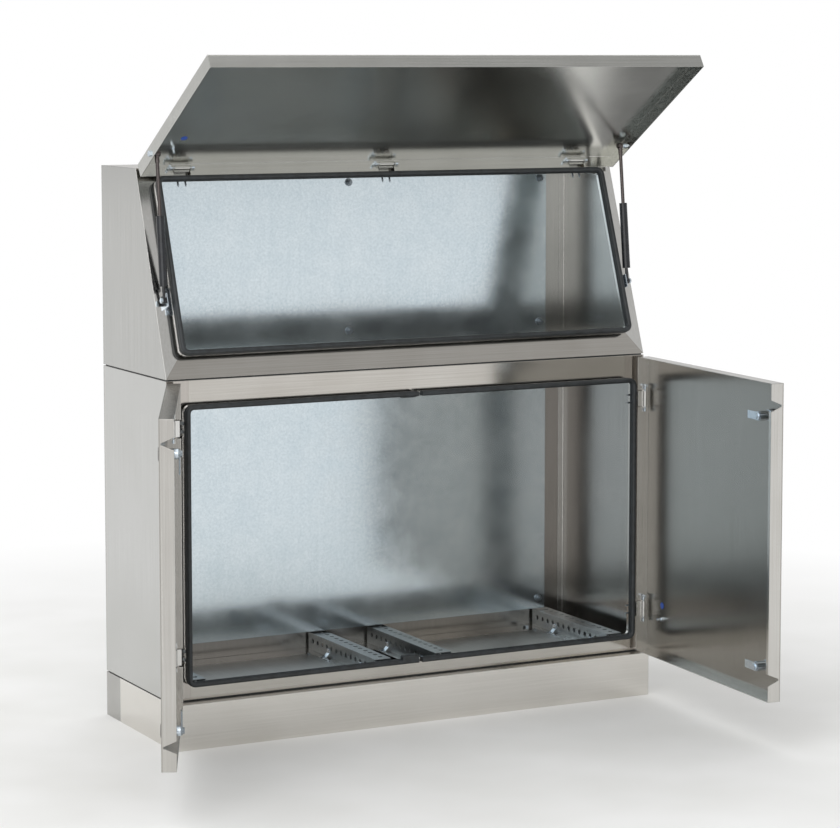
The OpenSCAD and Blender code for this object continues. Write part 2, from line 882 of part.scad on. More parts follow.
module strut_bracket() {
    difference() {
        union() {
            block([strut_upright_x + strut_plate_t - strut_foot_w, strut_upright_x + strut_plate_t],
                [-strut_plate_t, 0], [strut_foot[1] - strut_foot_h / 2, strut_foot[1] + strut_foot_h / 2]);
            block([strut_upright_x, strut_upright_x + strut_plate_t], [strut_foot[0] - strut_eye_d / 2, 0],
                [strut_foot[1] - strut_upright_h / 2, strut_foot[1] + strut_upright_h / 2]);
            translate([strut_upright_x, strut_foot[0], strut_foot[1]]) rotate([0, 90, 0]) {
                cylinder(d = strut_pin_d,
                    h = strut_plate_t + 2 * open_pivot_gap + strut_eye_t + strut_stud_out);
                translate([0, 0, strut_plate_t + 2 * open_pivot_gap + strut_eye_t])
                    cylinder(d = bolt_head_d, h = bolt_head_t, $fn = 6);
            }
        }
        strut_bracket_screw_spots() screw_hole();
    }
}

module strut_brackets() {
    color(zinc) on_slope() both_sides() strut_bracket();
}

module sheet_screws() {
    color(zinc) {
        both_sides() at_door_hinges() at_hinge_screws(collar_side) screw(lug_t);
        on_slope() at_lid_hinges() at_hinge_screws(upper_collar_top) screw(lug_t, lid_screw_len);
        on_slope() both_sides() strut_bracket_screw_spots() screw(strut_plate_t);
        gland_screw_spots() screw(gland_t);
        tab_screw_spots() screw(tab_t, tab_screw_len);
    }
}

// Doors, drawn as the right one when shut

// Triangular notch with a round tip in the free flange, from its edge inwards
module flange_notch(z) {
    tip_r = 2.5;
    edge = front_y - door_gap;
    tip = edge - notch_depth + tip_r;
    side_slab(reveal - eps, reveal + sheet + eps) {
        polygon([
            [edge + eps, z - notch_w / 2],
            [edge + eps, z + notch_w / 2],
            [tip, z + tip_r],
            [tip, z - tip_r]
        ]);
        translate([tip, z]) circle(tip_r);
    }
}

module door_tray() {
    outer_x = half_w - reveal;
    face = -depth / 2;
    edge = front_y - door_gap;
    notch_low = door_z + notch_end + notch_w / 2;
    notch_high = door_top - notch_end - notch_w / 2;
    lip_low = notch_low + notch_w / 2;
    lip_high = notch_high - notch_w / 2;
    lip_r = lip_w * 0.42;
    difference() {
        union() {
            difference() {
                block([reveal, outer_x], [face, edge], [door_z, door_top]);
                block([reveal + sheet, outer_x - sheet], [face + sheet, edge + eps],
                    [door_z + sheet, door_top - sheet]);
                flange_notch(notch_low);
                flange_notch(notch_high);
            }
            translate([reveal + lip_w / 2, 0, 0]) slab(edge, edge - sheet) union() {
                window(lip_w / 2, lip_low, lip_high, lip_r);
                translate([-lip_w / 2, lip_low]) square([lip_w / 2, lip_high - lip_low]);
            }
        }
        at_door_hinges() hinge_cutout();
        at_locks() cylinder(d = lock_d + hole_gap, h = 3 * sheet, center = true);
        at_door_earth_stud() cylinder(d = earth_d + hole_gap, h = 3 * sheet, center = true);
    }
}

// Lock places on the inner skin, with z pointing into the cabinet
module at_lock(z) {
    translate([reveal + lock_edge, -depth / 2, z]) rotate([-90, 0, 0]) children();
}

module at_locks() {
    at_lock(door_z + lock_end) children();
    at_lock(door_top - lock_end) children();
}

module at_door_earth_stud() {
    translate([half_w - reveal - earth_edge, -depth / 2, door_z + earth_up]) rotate([-90, 0, 0]) children();
}

// Barrel with its outer flange and its base ring, bored for the core
module lock_body() {
    difference() {
        union() {
            translate([0, 0, -lock_proud]) cylinder(d = lock_flange_d, h = lock_proud);
            cylinder(d = lock_d, h = sheet + lock_len);
            translate([0, 0, sheet]) cylinder(d = lock_flange_d, h = lock_base_t);
        }
        translate([0, 0, -lock_proud - eps]) cylinder(d = core_d + 2 * run_gap, h = 2 * lock_len);
    }
}

// Hexagon nut on the lock's barrel, with a sleeve that guides the core up to the cam
module lock_nut() {
    seat = sheet + lock_base_t;
    difference() {
        union() {
            translate([0, 0, seat]) cylinder(d = lock_nut_d, h = lock_nut_t, $fn = 6);
            translate([0, 0, seat]) cylinder(d = lock_sleeve_d, h = cam_back - cam_clear - seat);
        }
        translate([0, 0, seat - eps]) cylinder(d = lock_d + hole_gap, h = lock_nut_t / 2 + seal_gap);
        cylinder(d = core_d + 2 * run_gap, h = cam_back);
    }
}

// Turning core with a three-sided key seat, and the cam, which reaches along +x
module lock_cam() {
    difference() {
        union() {
            translate([0, 0, -core_proud]) cylinder(d = core_d, h = cam_back + cam_t + core_proud);
            translate([0, 0, cam_back]) cylinder(d = hub_d, h = cam_t);
            translate([0, -cam_w / 2, cam_back]) cube([cam_reach, cam_w, cam_t]);
            translate([0, 0, cam_back + cam_t]) cylinder(d = bolt_head_d, h = bolt_head_t, $fn = 6);
        }
        translate([0, 0, -lock_proud]) cylinder(d = key_d, h = key_depth, $fn = 3);
    }
}

// A welded stud, flush with the outer face, and its nut
module earth_stud() {
    cylinder(d = earth_d, h = sheet + earth_len);
    translate([0, 0, sheet]) cylinder(d = earth_nut_d, h = earth_nut_t, $fn = 6);
}

module left_door() {
    color(stainless) on_left_door() door_tray();
}

module right_door() {
    color(stainless) on_right_door() door_tray();
}

module left_door_hinge_lugs() {
    color(stainless) on_left_door() at_door_hinges() hinge_lugs();
}

module right_door_hinge_lugs() {
    color(stainless) on_right_door() at_door_hinges() hinge_lugs();
}

module left_door_hinge_pins() {
    color(zinc) on_left_door() at_door_hinges() hinge_pin();
}

module right_door_hinge_pins() {
    color(zinc) on_right_door() at_door_hinges() hinge_pin();
}

module left_door_locks() {
    color(black_metal) on_left_door() at_locks() lock_body();
}

module right_door_locks() {
    color(black_metal) on_right_door() at_locks() lock_body();
}

module left_door_lock_nuts() {
    color(zinc) on_left_door() at_locks() lock_nut();
}

module right_door_lock_nuts() {
    color(zinc) on_right_door() at_locks() lock_nut();
}

module left_door_earth_stud() {
    color(zinc) on_left_door() at_door_earth_stud() earth_stud();
}

module right_door_earth_stud() {
    color(zinc) on_right_door() at_door_earth_stud() earth_stud();
}

// Left cams point to the middle of the door, right cams to its hinges
module left_upper_cam() {
    color(zinc) on_left_door() at_lock(door_top - lock_end) rotate([0, 0, 90]) lock_cam();
}

module left_lower_cam() {
    color(zinc) on_left_door() at_lock(door_z + lock_end) rotate([0, 0, -90]) lock_cam();
}

module right_upper_cam() {
    color(zinc) on_right_door() at_lock(door_top - lock_end) lock_cam();
}

module right_lower_cam() {
    color(zinc) on_right_door() at_lock(door_z + lock_end) lock_cam();
}

// Lid, drawn shut on the leaning front

module at_lid_earth_stud() {
    translate([-lid_earth_x, -lid_out, lid_top - lid_earth_down]) rotate([-90, 0, 0]) children();
}

module at_strut_pins() {
    for (side = [-1, 1]) translate([side * (half_w - reveal), lid_pin_shut[0], lid_pin_shut[1]])
        rotate([0, -side * 90, 0]) children();
}

module lid() {
    color(stainless) on_lid() difference() {
        block([-half_w + reveal, half_w - reveal], [-lid_out, -door_gap], [lid_top - lid_len, lid_top]);
        block([-half_w + reveal + sheet, half_w - reveal - sheet], [-lid_out + sheet, 0],
            [lid_top - lid_len + sheet, lid_top - sheet]);
        at_lid_hinges() hinge_cutout();
        at_lid_earth_stud() cylinder(d = earth_d + hole_gap, h = 3 * sheet, center = true);
        at_strut_pins() cylinder(d = strut_pin_d + hole_gap, h = 3 * sheet, center = true);
    }
}

module lid_hinge_lugs() {
    color(stainless) on_lid() at_lid_hinges() hinge_lugs();
}

module lid_hinge_pins() {
    color(zinc) on_lid() at_lid_hinges() hinge_pin();
}

// Each stud ends just short of the strut's rod eye
module lid_strut_studs() {
    reach = strut_side - reveal - strut_eye_t / 2 - open_pivot_gap;
    color(zinc) on_lid() at_strut_pins() {
        cylinder(d = strut_pin_d, h = reach);
        translate([0, 0, sheet]) cylinder(d = bolt_head_d, h = bolt_head_t, $fn = 6);
        translate([0, 0, -bolt_head_t]) cylinder(d = bolt_head_d, h = bolt_head_t, $fn = 6);
    }
}

module lid_earth_stud() {
    color(zinc) on_lid() at_lid_earth_stud() earth_stud();
}

// Gas struts, drawn along z from the lower pivot

module on_strut() {
    on_slope() translate([strut_x, strut_foot[0], strut_foot[1]]) rotate([strut_angle, 0, 0]) children();
}

module strut_eye() {
    rotate([0, 90, 0]) cylinder(d = strut_eye_d, h = strut_eye_t, center = true);
}

module strut_barrel_shape() {
    difference() {
        union() {
            strut_eye();
            cylinder(d = strut_neck_d, h = strut_neck + eps);
            translate([0, 0, strut_neck]) cylinder(d = strut_d, h = strut_barrel);
        }
        rotate([0, 90, 0]) cylinder(d = strut_pin_d + 2 * run_gap, h = 2 * strut_eye_t, center = true);
        translate([0, 0, strut_neck + strut_cap]) {
            cylinder(d = strut_bore_d, h = strut_barrel - 2 * strut_cap);
            cylinder(d = strut_rod_d + 2 * run_gap, h = strut_barrel);
        }
    }
}

// Rod with its piston inside the barrel, and the eye with its pressed-in bush
module strut_rod_shape() {
    seat = strut_neck + strut_barrel - strut_cap - strut_rod_inside;
    translate([0, 0, seat]) cylinder(d = strut_bore_d - 2 * run_gap, h = strut_piston);
    translate([0, 0, seat]) cylinder(d = strut_rod_d, h = strut_len - seat);
    translate([0, 0, strut_len - strut_rod_end])
        cylinder(d = strut_rod_end_d, h = strut_rod_end - strut_eye_t / 2);
    translate([0, 0, strut_len]) {
        strut_eye();
        translate([-strut_eye_t / 2, 0, 0]) rotate([0, -90, 0])
            cylinder(d = bolt_head_d, h = strut_rod_nut_t, $fn = 6);
    }
}

module left_strut_barrel() {
    color(black_metal) mirror([1, 0, 0]) on_strut() strut_barrel_shape();
}

module left_strut_rod() {
    color(zinc) mirror([1, 0, 0]) on_strut() strut_rod_shape();
}

module right_strut_barrel() {
    color(black_metal) on_strut() strut_barrel_shape();
}

module right_strut_rod() {
    color(zinc) on_strut() strut_rod_shape();
}

plinth_front();
plinth_rear();
frame_bolts();
joint_seals();
lower_left_side();
lower_right_side();
lower_rear_panel();
lower_roof();
lower_floor();
lower_front_frame();
lower_gasket();
lower_mounting_plate();
lower_plate_studs();
floor_rail_left();
floor_rail_mid_left();
floor_rail_mid_right();
floor_rail_right();
rail_tabs();
gland_plate_left();
gland_plate_right();
upper_left_side();
upper_right_side();
upper_rear_panel();
upper_roof();
upper_floor();
upper_front_frame();
upper_gasket();
upper_mounting_plate();
upper_plate_studs();
sheet_screws();
left_hinge_brackets();
right_hinge_brackets();
lid_hinge_brackets();
strut_brackets();
left_door();
left_door_hinge_lugs();
left_door_hinge_pins();
left_door_locks();
left_door_lock_nuts();
left_door_earth_stud();
right_door();
right_door_hinge_lugs();
right_door_hinge_pins();
right_door_locks();
right_door_lock_nuts();
right_door_earth_stud();
lid();
lid_hinge_lugs();
lid_hinge_pins();
lid_strut_studs();
lid_earth_stud();
left_upper_cam();
left_lower_cam();
right_upper_cam();
right_lower_cam();
left_strut_barrel();
left_strut_rod();
right_strut_barrel();
right_strut_rod();
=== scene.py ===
"""Stainless steel control console: a plinth, a body with open doors and a leaning front with a raised lid."""

import math

import bpy
import numpy as np
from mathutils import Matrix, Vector


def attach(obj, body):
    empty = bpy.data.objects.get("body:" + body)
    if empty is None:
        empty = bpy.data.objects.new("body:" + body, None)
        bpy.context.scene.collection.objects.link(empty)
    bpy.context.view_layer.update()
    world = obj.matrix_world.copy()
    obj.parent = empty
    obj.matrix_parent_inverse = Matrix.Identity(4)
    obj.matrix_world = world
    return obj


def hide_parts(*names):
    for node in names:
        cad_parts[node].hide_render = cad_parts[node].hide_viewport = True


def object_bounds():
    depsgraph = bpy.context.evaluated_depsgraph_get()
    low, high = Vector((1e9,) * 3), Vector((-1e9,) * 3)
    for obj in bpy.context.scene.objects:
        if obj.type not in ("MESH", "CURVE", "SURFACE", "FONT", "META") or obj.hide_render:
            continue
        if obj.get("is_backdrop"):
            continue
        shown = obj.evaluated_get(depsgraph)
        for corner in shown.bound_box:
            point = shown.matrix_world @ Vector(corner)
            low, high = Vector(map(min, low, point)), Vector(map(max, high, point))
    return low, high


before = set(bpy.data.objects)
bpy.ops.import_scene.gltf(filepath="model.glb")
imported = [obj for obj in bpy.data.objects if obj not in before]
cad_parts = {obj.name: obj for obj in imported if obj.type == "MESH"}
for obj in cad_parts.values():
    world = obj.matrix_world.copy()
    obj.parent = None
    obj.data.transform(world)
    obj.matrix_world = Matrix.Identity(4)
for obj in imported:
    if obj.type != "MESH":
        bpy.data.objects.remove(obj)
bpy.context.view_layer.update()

# Driving sizes, in millimetres
MM = 0.001
HALF_W = 600.0          # middle to a side panel
FRONT_Y = -168.0        # face of the lower front frame
REAR_Y = 200.0          # outer face of the rear panels
LOWER_Z = (103.0, 800.0)
UPPER_Z = (803.0, 1250.0)
SHEET = 1.5
LEAN = math.radians(20)
SLOPE_Y = FRONT_Y + (UPPER_Z[0] - LOWER_Z[1]) * math.tan(LEAN)   # foot of the leaning front
SLOPE_LEN = (UPPER_Z[1] - UPPER_Z[0]) / math.cos(LEAN)
COLLAR_SIDE = 39.0
LOWER_COLLAR = (37.0, 55.0)   # bottom and top
UPPER_COLLAR = (52.0, 31.0)
COLLAR_R = 14.0
HINGE_INSET = 7.0       # edge of a body to a hinge line
HINGE_OUT = 19.0        # frame face to a hinge line
DOOR_SKIN = 30.5        # frame face to the inner face of a shut door or lid
DOOR_HINGE = (HALF_W - HINGE_INSET, FRONT_Y - HINGE_OUT)   # x and y of the right door's hinge line
RIGHT_OPEN, LEFT_OPEN, LID_OPEN = (math.radians(a) for a in (86.5, 114.0, 101.6))


# Places

def on_lower_front(x, across, out):
    """x, height above the lower body's floor and distance in front of its frame, to the shared frame."""
    return np.stack([x, FRONT_Y - out, LOWER_Z[0] + across], -1)


def on_upper_front(x, across, out):
    """x, distance up the leaning front and distance in front of it, to the shared frame."""
    return np.stack([x, SLOPE_Y + across * math.sin(LEAN) - out * math.cos(LEAN),
                     UPPER_Z[0] + across * math.cos(LEAN) + out * math.sin(LEAN)], -1)


LID_HINGE = on_upper_front(0.0, SLOPE_LEN - HINGE_INSET, HINGE_OUT)


# Colours and nodes
USUAL = {"From Min": 0.3, "From Max": 0.7}           # where most of a noise lies
USUAL_TONE = {"From Min": 0.32, "From Max": 0.68}
WHITE = (1.0, 1.0, 1.0, 1.0)


def hex_linear(code):
    """sRGB hex to linear: c / 12.92 up to 0.04045, otherwise ((c + 0.055) / 1.055) to the power 2.4."""
    c = np.array([int(code[i:i + 2], 16) for i in (1, 3, 5)]) / 255.0
    return (*np.where(c <= 0.04045, c / 12.92, ((c + 0.055) / 1.055) ** 2.4).tolist(), 1.0)


def add(tree, kind, inputs=None, out=0, **settings):
    """Adds a node with its settings, sets or links its inputs, and gives one of its outputs."""
    node = tree.nodes.new(kind)
    for key, value in settings.items():
        setattr(node, key, value)
    for key, value in (inputs or {}).items():
        if isinstance(value, bpy.types.NodeSocket):
            tree.links.new(value, node.inputs[key])
        else:
            node.inputs[key].default_value = value
    return node.outputs[out] if len(node.outputs) else None


def start(holder):
    """The empty node tree of a material or a world."""
    holder.use_nodes = True
    holder.node_tree.nodes.clear()
    return holder.node_tree


def new_material(name):
    """A new material, its empty tree and its Object coordinates."""
    material = bpy.data.materials.new(name)
    tree = start(material)
    return material, tree, add(tree, "ShaderNodeTexCoord", out="Object")


def tones(tree, fac, colours):
    """Runs from one hex colour to another as a noise goes from its usual low to its usual high."""
    fac = add(tree, "ShaderNodeMapRange", {"Value": fac, **USUAL_TONE})
    return add(tree, "ShaderNodeMix", {0: fac, 6: hex_linear(colours[0]), 7: hex_linear(colours[1])}, 2,
               data_type="RGBA")


def blend(tree, shares):
    """The sum of noises, each times its share."""
    total = 0.0
    for noise, share in shares:
        total = add(tree, "ShaderNodeMath", {0: noise, 1: share, 2: total}, operation="MULTIPLY_ADD")
    return total


# Materials, with their sizes in metres
# Real grinding lines are about 0.2 mm apart; they are drawn 3 mm apart and 250 mm long so that they show
LINE_ACROSS, LINE_ALONG = 1 / 0.003, 1 / 0.25
SMUDGE = 1 / 0.16       # hand and wipe marks, about 160 mm
BUCKLE = 1 / 0.4        # slight waves of a large thin sheet, about 400 mm
BUCKLE_DEPTH = 0.0012
FOLD_R, THIN_FOLD_R, EDGE_R = 0.002, 0.0015, 0.0007   # folds of steel and of zinc sheet, edges of small parts
BUTT_WELD = 0.012       # collar of the lower frame to a weld
WELD_FULL, WELD_NONE = 0.0004, 0.0022   # where a weld's shade starts to fade and where it ends
WELD_SHADE = 0.4
SPANGLE, CLOUD = 1 / 0.005, 1 / 0.07    # fine and coarse mottle of zinc
STREAK_ACROSS, STREAK_ALONG = 1 / 0.012, 1 / 0.4
TOOL_MARK = 1 / 0.002


def grinding_lines(tree, coords, axis):
    """Noise drawn out along one axis, as a belt leaves it."""
    scale = [LINE_ALONG if name == axis else LINE_ACROSS for name in "xyz"]
    place = add(tree, "ShaderNodeMapping", {"Vector": coords, "Scale": scale})
    return add(tree, "ShaderNodeTexNoise", {"Vector": place, "Scale": 1.0, "Detail": 2.0})


def inner_skin(tree, coords, planes):
    """1 on the faces that lie in one of the planes, each a normal and its distance in mm, otherwise 0.

    Without planes there is no such factor.
    """
    skin = None
    for normal, distance in planes:
        away = add(tree, "ShaderNodeVectorMath", {0: coords, 1: normal}, "Value", operation="DOT_PRODUCT")
        on = add(tree, "ShaderNodeMath", {0: away, 1: distance * MM, 2: SHEET / 2 * MM}, operation="COMPARE")
        skin = on if skin is None else add(tree, "ShaderNodeMath", {0: skin, 1: on}, operation="MAXIMUM")
    return skin


def ground_sheet(tree, coords, lines, axis, colours, rough, drawn_out, where=None, there=None):
    """Faint lines and smudges, a gloss drawn out across the lines, round folds and a slightly wavy sheet.

    Where one factor is 1, the sheet has other colours, which are painted shade or painted light.
    """
    smudge = add(tree, "ShaderNodeTexNoise", {"Vector": coords, "Scale": SMUDGE, "Detail": 3.0})
    marks = blend(tree, ((smudge, 0.5), (lines, 0.5)))
    base = tones(tree, marks, colours)
    if where is not None:
        base = add(tree, "ShaderNodeMix", {0: where, 6: base, 7: tones(tree, marks, there)}, 2,
                   data_type="RGBA")
    gloss = add(tree, "ShaderNodeMapRange",
                {"Value": smudge, **USUAL, "To Min": rough * 0.88, "To Max": rough * 1.12})
    fold = add(tree, "ShaderNodeBevel", {"Radius": FOLD_R}, samples=4)
    waves = add(tree, "ShaderNodeTexNoise", {"Vector": coords, "Scale": BUCKLE, "Detail": 1.0})
    sheet = add(tree, "ShaderNodeBump", {"Height": waves, "Distance": BUCKLE_DEPTH, "Normal": fold})
    across = add(tree, "ShaderNodeTangent", direction_type="RADIAL", axis=axis.upper())
    steel = add(tree, "ShaderNodeBsdfPrincipled",
                {"Base Color": base, "Roughness": gloss, "Metallic": 1.0, "Normal": sheet,
                 "Anisotropic": drawn_out, "Tangent": across})
    add(tree, "ShaderNodeOutputMaterial", {"Surface": steel})


def ground_stainless(name, axis, colours, rough, inside=None, planes=()):
    """Stainless steel sheet ground with grit 240: a soft grey mirror that blurs across its grain.

    Faces in the given planes are the inside, which has tones of its own: painted shade inside the body and doors,
    painted light inside the lid.
    """
    material, tree, coords = new_material(name)
    ground_sheet(tree, coords, grinding_lines(tree, coords, axis), axis, colours, rough, drawn_out=0.6,
                 where=inner_skin(tree, coords, planes), there=inside)
    return material


def welded_stainless(name, mitred, level, upright_tones):
    """The same sheet on a front frame: its grain turns at the corners, where a flush weld leaves a fine line.

    The strips at the sides have tones of their own, which are painted light and shade: they stand in for how their
    upright grain shines.
    """
    material, tree, coords = new_material(name)
    x = add(tree, "ShaderNodeSeparateXYZ", {"Vector": coords}, "X")
    z = add(tree, "ShaderNodeSeparateXYZ", {"Vector": coords}, "Z")
    side = add(tree, "ShaderNodeMath", {0: x}, operation="ABSOLUTE")
    side = add(tree, "ShaderNodeMath", {0: HALF_W * MM, 1: side}, operation="SUBTRACT")
    reach = COLLAR_SIDE * MM + BUTT_WELD
    if mitred:
        ends = []
        for edge, collar, way in zip(UPPER_Z, UPPER_COLLAR, (1, -1)):
            rise = add(tree, "ShaderNodeMath", {0: z, 1: edge * MM}, operation="SUBTRACT")
            steep = way * COLLAR_SIDE / collar / math.cos(LEAN)
            ends.append(add(tree, "ShaderNodeMath", {0: rise, 1: steep}, operation="MULTIPLY"))
        reach = add(tree, "ShaderNodeMath", {0: ends[0], 1: ends[1]}, operation="MINIMUM")
    into = add(tree, "ShaderNodeMath", {0: reach, 1: side}, operation="SUBTRACT")
    upright = add(tree, "ShaderNodeMath", {0: into, 1: 0.0}, operation="GREATER_THAN")
    weld = add(tree, "ShaderNodeMath", {0: into}, operation="ABSOLUTE")
    weld = add(tree, "ShaderNodeMapRange", {"Value": weld, "From Min": WELD_FULL, "From Max": WELD_NONE,
                                            "To Min": WELD_SHADE, "To Max": 0.0})
    lines = add(tree, "ShaderNodeMix", {0: upright, 2: grinding_lines(tree, coords, "x"),
                                        3: grinding_lines(tree, coords, "z")}, data_type="FLOAT")
    lines = add(tree, "ShaderNodeMath", {0: lines, 1: weld}, operation="SUBTRACT")
    ground_sheet(tree, coords, lines, "x", level, rough=0.13, drawn_out=0.0, where=upright,
                 there=upright_tones)
    return material


def galvanised_steel(name, colours, rough):
    """Galvanised sheet, skin-passed: a bluish half mirror with a fine mottle and faint rolling streaks."""
    material, tree, coords = new_material(name)
    mottle = add(tree, "ShaderNodeTexNoise", {"Vector": coords, "Scale": SPANGLE, "Detail": 2.0})
    clouds = add(tree, "ShaderNodeTexNoise", {"Vector": coords, "Scale": CLOUD, "Detail": 3.0})
    place = add(tree, "ShaderNodeMapping",
                {"Vector": coords, "Scale": (STREAK_ACROSS, STREAK_ACROSS, STREAK_ALONG)})
    streak = add(tree, "ShaderNodeTexNoise", {"Vector": place, "Scale": 1.0, "Detail": 1.0})
    marks = blend(tree, ((mottle, 0.5), (clouds, 0.4), (streak, 0.1)))
    gloss = add(tree, "ShaderNodeMapRange",
                {"Value": clouds, **USUAL, "To Min": rough - 0.03, "To Max": rough + 0.03})
    across = add(tree, "ShaderNodeTangent", direction_type="RADIAL", axis="Z")
    fold = add(tree, "ShaderNodeBevel", {"Radius": THIN_FOLD_R}, samples=4)
    zinc = add(tree, "ShaderNodeBsdfPrincipled",
               {"Base Color": tones(tree, marks, colours), "Roughness": gloss, "Metallic": 0.92,
                "Normal": fold, "Anisotropic": 0.35, "Tangent": across})
    add(tree, "ShaderNodeOutputMaterial", {"Surface": zinc})
    return material


def bright_metal(name, colours, rough):
    """A plated or hardened bright part: glossy, with faint drawing and turning marks about 2 mm apart."""
    material, tree, coords = new_material(name)
    marks = add(tree, "ShaderNodeTexNoise", {"Vector": coords, "Scale": TOOL_MARK, "Detail": 3.0})
    gloss = add(tree, "ShaderNodeMapRange",
                {"Value": marks, **USUAL, "To Min": rough - 0.06, "To Max": rough + 0.06})
    fold = add(tree, "ShaderNodeBevel", {"Radius": EDGE_R}, samples=4)
    metal = add(tree, "ShaderNodeBsdfPrincipled",
                {"Base Color": tones(tree, marks, colours), "Roughness": gloss, "Metallic": 1.0,
                 "Normal": fold})
    add(tree, "ShaderNodeOutputMaterial", {"Surface": metal})
    return material


def dull_coat(name, colours, rough, cell, relief):
    """Rubber, stoved paint or plain film: not a metal, with uneven gloss in cells in m and a relief in mm."""
    material, tree, coords = new_material(name)
    bloom = add(tree, "ShaderNodeTexNoise", {"Vector": coords, "Scale": 1 / cell, "Detail": 2.0})
    gloss = add(tree, "ShaderNodeMapRange",
                {"Value": bloom, **USUAL, "To Min": rough * 0.85, "To Max": rough * 1.15})
    skin = add(tree, "ShaderNodeBump", {"Height": bloom, "Strength": 0.2, "Distance": relief * MM})
    coat = add(tree, "ShaderNodeBsdfPrincipled",
               {"Base Color": tones(tree, bloom, colours), "Roughness": gloss, "Normal": skin})
    add(tree, "ShaderNodeOutputMaterial", {"Surface": coat})
    return material


def leaf_inside(normal, hinge):
    """The plane of the inner face of a door or lid, from its normal and a point of its hinge line."""
    return normal, float(np.dot(normal, hinge)) + HINGE_OUT - DOOR_SKIN


def door_inside(angle, side):
    """The inner face of a door that is swung open: side is 1 for the right door and -1 for the left one."""
    return leaf_inside((-side * math.sin(angle), math.cos(angle), 0.0),
                       (side * DOOR_HINGE[0], DOOR_HINGE[1], 0.0))


def lid_inside(angle):
    """The inner face of the lid, which is lifted from the leaning front."""
    return leaf_inside((0.0, math.cos(LEAN + angle), -math.sin(LEAN + angle)), LID_HINGE)


BODY_INSIDE = [((1.0, 0.0, 0.0), HALF_W - SHEET), ((-1.0, 0.0, 0.0), HALF_W - SHEET),
               ((0.0, 1.0, 0.0), REAR_Y - SHEET)]

# A roughness stays to one side of about 0.27, near which the denoised render shows false contours
# The darker inside tones of the body and doors are painted shade; the paler inside tones of the lid are painted
# light
STEEL_LOWER = ground_stainless("stainless_ground_lower_body", "z", ("#BFBFBC", "#CACAC8"), 0.225,
                               ("#A09D99", "#AEABA7"), BODY_INSIDE)
# The upper body's tones are darker than the lower body's: painted shade
STEEL_UPPER = ground_stainless("stainless_ground_upper_body", "z", ("#B4B4B1", "#C0C0BD"), 0.225)
STEEL_RIGHT = ground_stainless("stainless_ground_right_door", "z", ("#C2C0BB", "#CFCDC9"), 0.225,
                               ("#9A9893", "#A8A6A1"), [door_inside(RIGHT_OPEN, 1)])
STEEL_LEFT = ground_stainless("stainless_ground_left_door", "z", ("#B9B6B1", "#C6C4BF"), 0.225,
                              ("#9A9893", "#A8A6A1"), [door_inside(LEFT_OPEN, -1)])
STEEL_LEVEL = ground_stainless("stainless_ground_level", "x", ("#BFBCB6", "#CCC9C4"), 0.22)
# The plinth's paler tones are painted light, which makes up for the shadowed floor it mirrors
STEEL_PLINTH = ground_stainless("stainless_ground_plinth", "x", ("#DBD8D2", "#E6E3DE"), 0.22)
# The bends' paler tones are a painted highlight along the folds
STEEL_BEND = ground_stainless("stainless_bend", "z", ("#D8D6D2", "#E4E2DE"), 0.22)
STEEL_LID = ground_stainless("stainless_ground_lid", "x", ("#BCBCB7", "#C9C9C5"), 0.17,
                             ("#D4D4CF", "#E0E0DC"), [lid_inside(LID_OPEN)])
STEEL_DEEP = ground_stainless("stainless_ground_deep", "y", ("#BCBBB7", "#CAC9C6"), 0.32)
# The side strips' tones are painted light on the upper frame and painted shade on the lower frame
LOWER_FRAME = welded_stainless("stainless_ground_butt_welded", False, ("#B8B4AD", "#C6C3BD"),
                               ("#B2ADA7", "#C0BBB5"))
UPPER_FRAME = welded_stainless("stainless_ground_mitre_welded", True, ("#B8B4AD", "#C6C3BD"),
                               ("#DAD9D5", "#E6E5E2"))
# The hinge brackets' and lugs' paler tones are a painted highlight
STEEL_HINGE_PAINTED_LIGHT = ground_stainless("stainless_stamped_hinge", "z", ("#D3D2CF", "#DFDEDB"), 0.2)
STEEL_REAR = ground_stainless("stainless_ground_rear_plinth", "x", ("#B2B1AE", "#BFBEBB"), 0.32)
GALVANISED = galvanised_steel("galvanised_sheet", ("#C4D1D8", "#DCE6EB"), 0.17)
GALVANISED_RAIL = galvanised_steel("galvanised_rail", ("#9AA1A4", "#B2B8BB"), 0.32)
ZINC = bright_metal("bright_zinc_plate", ("#B9C4CE", "#DDE6EE"), 0.21)
ZINC_DULL = bright_metal("dull_zinc_plate", ("#767D82", "#99A1A7"), 0.34)
NITRIDED = bright_metal("nitrided_steel_rod", ("#4A4544", "#615B59"), 0.2)
RUBBER = dull_coat("extruded_rubber", ("#232627", "#33373A"), 0.5, 0.015, 0.2)
BLACK = dull_coat("glossy_black_paint", ("#15171A", "#22252A"), 0.13, 0.02, 0.02)
BLUE = dull_coat("blue_film", ("#2E4FA6", "#3F63BE"), 0.35, 0.004, 0.1)

